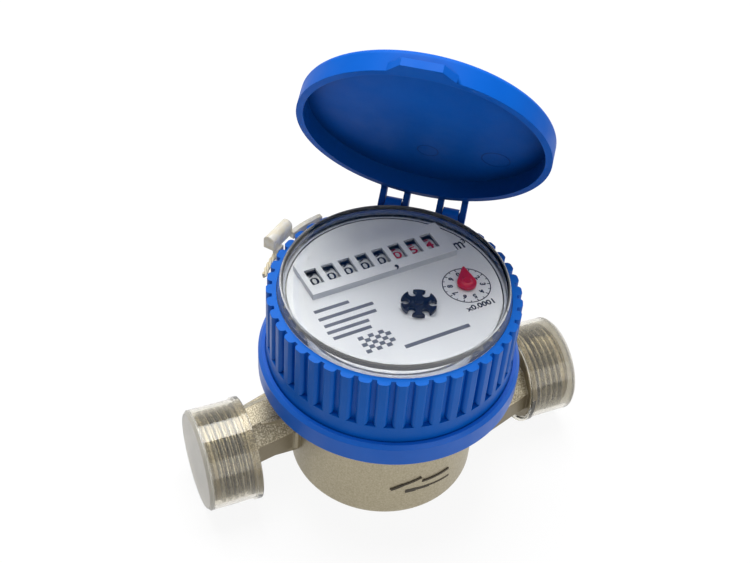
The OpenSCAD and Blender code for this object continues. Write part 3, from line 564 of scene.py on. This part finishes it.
def make_thread(name, side):
    """Right-hand pipe thread on one spigot, fading out at both ends."""
    turns = (THREAD_END - THREAD_START) / THREAD_PITCH
    count = int(turns * THREAD_STEPS)
    points, faces = [], []
    for i in range(count + 1):
        turn = 2 * pi * i / THREAD_STEPS
        fade = min(1.0, i / THREAD_STEPS * 2, (count - i) / THREAD_STEPS * 2)
        for shift, rise in THREAD_PROFILE:
            r = THREAD_ROOT_R + rise * fade * (THREAD_CREST_R - THREAD_ROOT_R)
            x = THREAD_START + i * THREAD_PITCH / THREAD_STEPS + shift * fade
            points.append(MM * Vector((side * x, r * cos(side * turn), PIPE_Z + r * sin(side * turn))))
    for i in range(count):
        for j in range(4):
            k = (j + 1) % 4
            faces.append([4 * i + j, 4 * i + k, 4 * i + 4 + k, 4 * i + 4 + j])
    faces += [[0, 1, 2, 3], [4 * count + j for j in (3, 2, 1, 0)]]
    thread = Shape()
    thread.add((points, faces))
    return thread.piece(name, thread_metal, "meter", smooth=35)


def make_digits(index):
    """The ten numbers round one roller, with the reading on top."""
    joint = joints[f"number_{index}_spin"]
    low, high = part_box(f"roller_{index}")
    radius = (high.z - low.z) / 2 / MM
    centre = Vector(joint["pos_m"])

    def on_roller(point, start):
        x, y, z = point
        turn = start + y / radius
        out = sin(turn) * dial_up + cos(turn) * UP
        return centre + MM * (x * dial_right + (radius + PRINT_T / 2 + z) * out)

    red = index >= RED_FROM
    roll = RED_ROLL if red else BLACK_ROLL
    shape = Shape()
    for number in range(10):
        start = roll / radius - (number - READING[index - 1]) * 2 * pi / 10
        letters = sliced(lettering(str(number), DIGIT_H, DIGIT_WIDTH, DIGIT_BOLD), 1, 0.4)
        shape.add(letters, lambda p, start=start: on_roller(p, start))
    return shape.piece(f"digits_{index}", print_red if red else print_black, f"number_{index}")


def make_dial_marks():
    """Black print: unit, decimal comma, and the scale of the small hand."""
    marks = Shape()
    marks.add(moved(lettering("m", UNIT_H, 0.75, 0.12), *UNIT_AT), on_dial)
    marks.add(moved(lettering("3", POWER_H, 1.0, 0.05), *POWER_AT), on_dial)
    marks.add(moved(lettering(",", COMMA_H, 1.0, 0.1), *COMMA_AT), lambda p: on_dial(p, block_top))

    at = in_dial("hand_spin")
    marks.add(moved(hoop(SUBDIAL_R - SUBDIAL_LINE, SUBDIAL_R, -PRINT_T, PRINT_T), *at), on_dial)
    for i in range(20):
        length, half = LONG_TICK if i % 2 == 0 else SHORT_TICK
        tick = bar(SUBDIAL_R - SUBDIAL_LINE / 2 - length, -half, SUBDIAL_R - SUBDIAL_LINE / 2, half)
        marks.add(moved(tick, *at, radians(90 - 18 * i)), on_dial)
    for number in range(10):
        angle = radians(90 - 36 * number)
        place = at[0] + SUBDIAL_DIGIT_R * cos(angle), at[1] + SUBDIAL_DIGIT_R * sin(angle)
        marks.add(moved(lettering(str(number), SUBDIAL_DIGIT_H, 1.0, 0.09), *place, angle - pi / 2), on_dial)
    scale_at = at[0] + SCALE_FROM_HAND[0], at[1] + SCALE_FROM_HAND[1]
    marks.add(moved(lettering("x0.0001", SCALE_H, 1.12, 0.08), *scale_at), on_dial)
    return marks.piece("dial_marks", print_black, "meter")


def make_dial_bars():
    """Plain grey bars where a real dial has lines of small print."""
    bars = Shape()
    for start, end, y in SHORT_BARS:
        bars.add(bar(start, y - SHORT_BAR_H / 2, end, y + SHORT_BAR_H / 2), on_dial)
    bars.add(bar(*LONG_BAR), on_dial)
    width, height = CHEQUER_CELL
    for row in range(CHEQUER_ROWS):
        for column in range(CHEQUER_COLUMNS):
            if (row + column) % 2 == 0:
                x, y = CHEQUER_AT[0] + width * column, CHEQUER_AT[1] + height * row
                bars.add(bar(x, y, x + width, y + height), on_dial)
    return bars.piece("dial_bars", print_grey, "meter")


def on_cup(point):
    """A flat form put round the front of the cup: x along it, y up, z out."""
    x, y, z = point
    turn = x / CUP_R - pi / 2
    return MM * Vector(((CUP_R + z) * cos(turn), (CUP_R + z) * sin(turn), y))


def make_flow_arrow():
    """Faintly raised arrow, with painted shade as dark lines along its edges."""
    arrow = Shape()
    arrow.add(sliced(slab(ARROW_OUTLINE, -ARROW_ROOT, ARROW_HEIGHT), 0, ARROW_SLICE), on_cup)
    arrow.piece("flow_arrow", cast_brass, "meter")
    # dark strips of painted shade along the arrow's edges
    edge_shade = Shape()
    for (start, end), width in zip(ARROW_LINES, ARROW_WIDTHS):
        along = atan2(end[1] - start[1], end[0] - start[0])
        length = ((end[0] - start[0]) ** 2 + (end[1] - start[1]) ** 2) ** 0.5
        strip = moved(bar(0, -width / 2, length, width / 2, -0.2, ARROW_HEIGHT + 0.05), *start, along)
        edge_shade.add(sliced(strip, 0, ARROW_SLICE), on_cup)
    edge_shade.piece("arrow_edge_shade", arrow_edge_shade, "meter")


def make_lid_marks():
    """Round marks that the mould leaves inside the lid."""
    joint = joints["lid_hinge"]
    at = Vector(joint["pos_m"])
    opened = Matrix.Rotation(radians(LID_OPEN), 4, Vector(joint["axis"]))
    turn = Matrix.Translation(at) @ opened @ Matrix.Translation(-at)
    marks = Shape()
    for x, y, r in LID_MARKS:
        disc = moved(hoop(r - LID_MARK_LINE, r, -0.1, 0.06, 48), x, y)
        marks.add(disc, lambda p: turn @ (MM * Vector((p[0], p[1], LID_INNER_Z - p[2]))))
    marks.piece("lid_marks", mark_blue, "lid")


def make_seal_wire():
    """Strands twisted round each other, along the path of the CAD wire."""
    low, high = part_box("seal_wire")
    level = (low.z + high.z) / 2
    ring_r, start, sweep = WIRE_R * MM, radians(WIRE_START), radians(WIRE_SWEEP)
    length = ring_r * sweep / MM
    wire = Shape()
    for strand in range(STRANDS):
        line = []
        for i in range(STRAND_STEPS + 1):
            turn = start + sweep * i / STRAND_STEPS
            out = Vector((cos(turn), sin(turn), 0))
            twist = 2 * pi * (strand / STRANDS + length / STRAND_PITCH * i / STRAND_STEPS)
            aside = STRAND_OFFSET * MM * cos(twist)
            above = STRAND_OFFSET * MM * sin(twist)
            line.append(out * (ring_r + aside) + UP * (level + above))
        wire.add(tube(line, STRAND_R * MM, 10))
    thing = wire.piece("wire_strands", looks["seal_wire"], "meter", smooth=60)
    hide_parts("seal_wire")


def make_stage():
    """White floor that keeps a soft shadow, a white world and two soft lamps."""
    scene = bpy.context.scene
    mesh = bpy.data.meshes.new("floor")
    corners = [(x * FLOOR_HALF, y * FLOOR_HALF, 0) for x, y in ((-1, -1), (1, -1), (1, 1), (-1, 1))]
    mesh.from_pydata(corners, [], [(0, 1, 2, 3)])
    floor = bpy.data.objects.new("floor", mesh)
    scene.collection.objects.link(floor)
    material = bpy.data.materials.new("floor")
    material.use_nodes = True
    tree = material.node_tree
    shader = tree.nodes["Principled BSDF"]
    shader.inputs["Base Color"].default_value = (FLOOR_GREY, FLOOR_GREY, FLOOR_GREY, 1)
    shader.inputs["Roughness"].default_value = 0.9
    shader.inputs["Specular IOR Level"].default_value = 0.0
    glow = tree.nodes.new("ShaderNodeEmission")
    glow.inputs["Strength"].default_value = FLOOR_GLOW
    mix = tree.nodes.new("ShaderNodeMixShader")
    share = tree.nodes.new("ShaderNodeMath")
    share.operation = "MULTIPLY"
    share.inputs[1].default_value = FLOOR_GLOW_SHARE
    tree.links.new(seen_ray(tree), share.inputs[0])
    tree.links.new(share.outputs[0], mix.inputs["Fac"])
    tree.links.new(shader.outputs["BSDF"], mix.inputs[1])
    tree.links.new(glow.outputs["Emission"], mix.inputs[2])
    tree.links.new(mix.outputs["Shader"], tree.nodes["Material Output"].inputs["Surface"])
    mesh.materials.append(material)

    world = bpy.data.worlds.new("studio")
    scene.world = world
    world.use_nodes = True
    tree = world.node_tree
    background = tree.nodes["Background"]
    background.inputs["Color"].default_value = (1, 1, 1, 1)
    strength = tree.nodes.new("ShaderNodeMapRange")
    strength.inputs["To Min"].default_value = WORLD_LIGHT
    strength.inputs["To Max"].default_value = WORLD_SEEN
    tree.links.new(seen_ray(tree), strength.inputs["Value"])
    tree.links.new(strength.outputs["Result"], background.inputs["Strength"])

    add_lamp("key", KEY_AT, KEY_POWER)
    add_lamp("fill", FILL_AT, FILL_POWER)


def seen_ray(tree):
    """1 for the rays that show the background, straight, mirrored or through glass."""
    path = tree.nodes.new("ShaderNodeLightPath")
    first = tree.nodes.new("ShaderNodeMath")
    second = tree.nodes.new("ShaderNodeMath")
    first.operation = second.operation = "MAXIMUM"
    tree.links.new(path.outputs["Is Camera Ray"], first.inputs[0])
    tree.links.new(path.outputs["Is Glossy Ray"], first.inputs[1])
    tree.links.new(first.outputs[0], second.inputs[0])
    tree.links.new(path.outputs["Is Transmission Ray"], second.inputs[1])
    return second.outputs[0]


def add_lamp(name, place, power):
    lamp = bpy.data.lights.new(name, "AREA")
    lamp.size = LAMP_SIZE
    lamp.energy = power
    thing = bpy.data.objects.new(name, lamp)
    thing.location = place
    thing.rotation_euler = (MM * CAMERA_TARGET - Vector(place)).to_track_quat("-Z", "Y").to_euler()
    bpy.context.scene.collection.objects.link(thing)


def add_camera():
    flat = cos(CAMERA_ELEVATION)
    back = Vector((sin(CAMERA_AZIMUTH) * flat, -cos(CAMERA_AZIMUTH) * flat, sin(CAMERA_ELEVATION)))
    level = Vector((cos(CAMERA_AZIMUTH), sin(CAMERA_AZIMUTH), 0))
    above = back.cross(level)
    right = cos(CAMERA_ROLL) * level + sin(CAMERA_ROLL) * above
    top = cos(CAMERA_ROLL) * above - sin(CAMERA_ROLL) * level
    camera = bpy.data.cameras.new("camera")
    camera.lens = CAMERA_LENS
    camera.sensor_fit = "HORIZONTAL"
    camera.sensor_width = SENSOR_WIDTH
    camera.clip_start = 0.01
    thing = bpy.data.objects.new("camera", camera)
    turn = Matrix((right, top, back)).transposed().to_4x4()
    thing.matrix_world = Matrix.Translation(MM * (CAMERA_TARGET + CAMERA_DISTANCE * back)) @ turn
    bpy.context.scene.collection.objects.link(thing)
    bpy.context.scene.camera = thing


for name, side in (("inlet_thread", 1), ("outlet_thread", -1)):
    make_thread(name, side)
for index in range(1, len(READING) + 1):
    make_digits(index)
make_dial_marks()
make_dial_bars()
make_flow_arrow()
make_lid_marks()
make_seal_wire()
make_stage()
add_camera()
bpy.context.scene.view_settings.view_transform = "Standard"
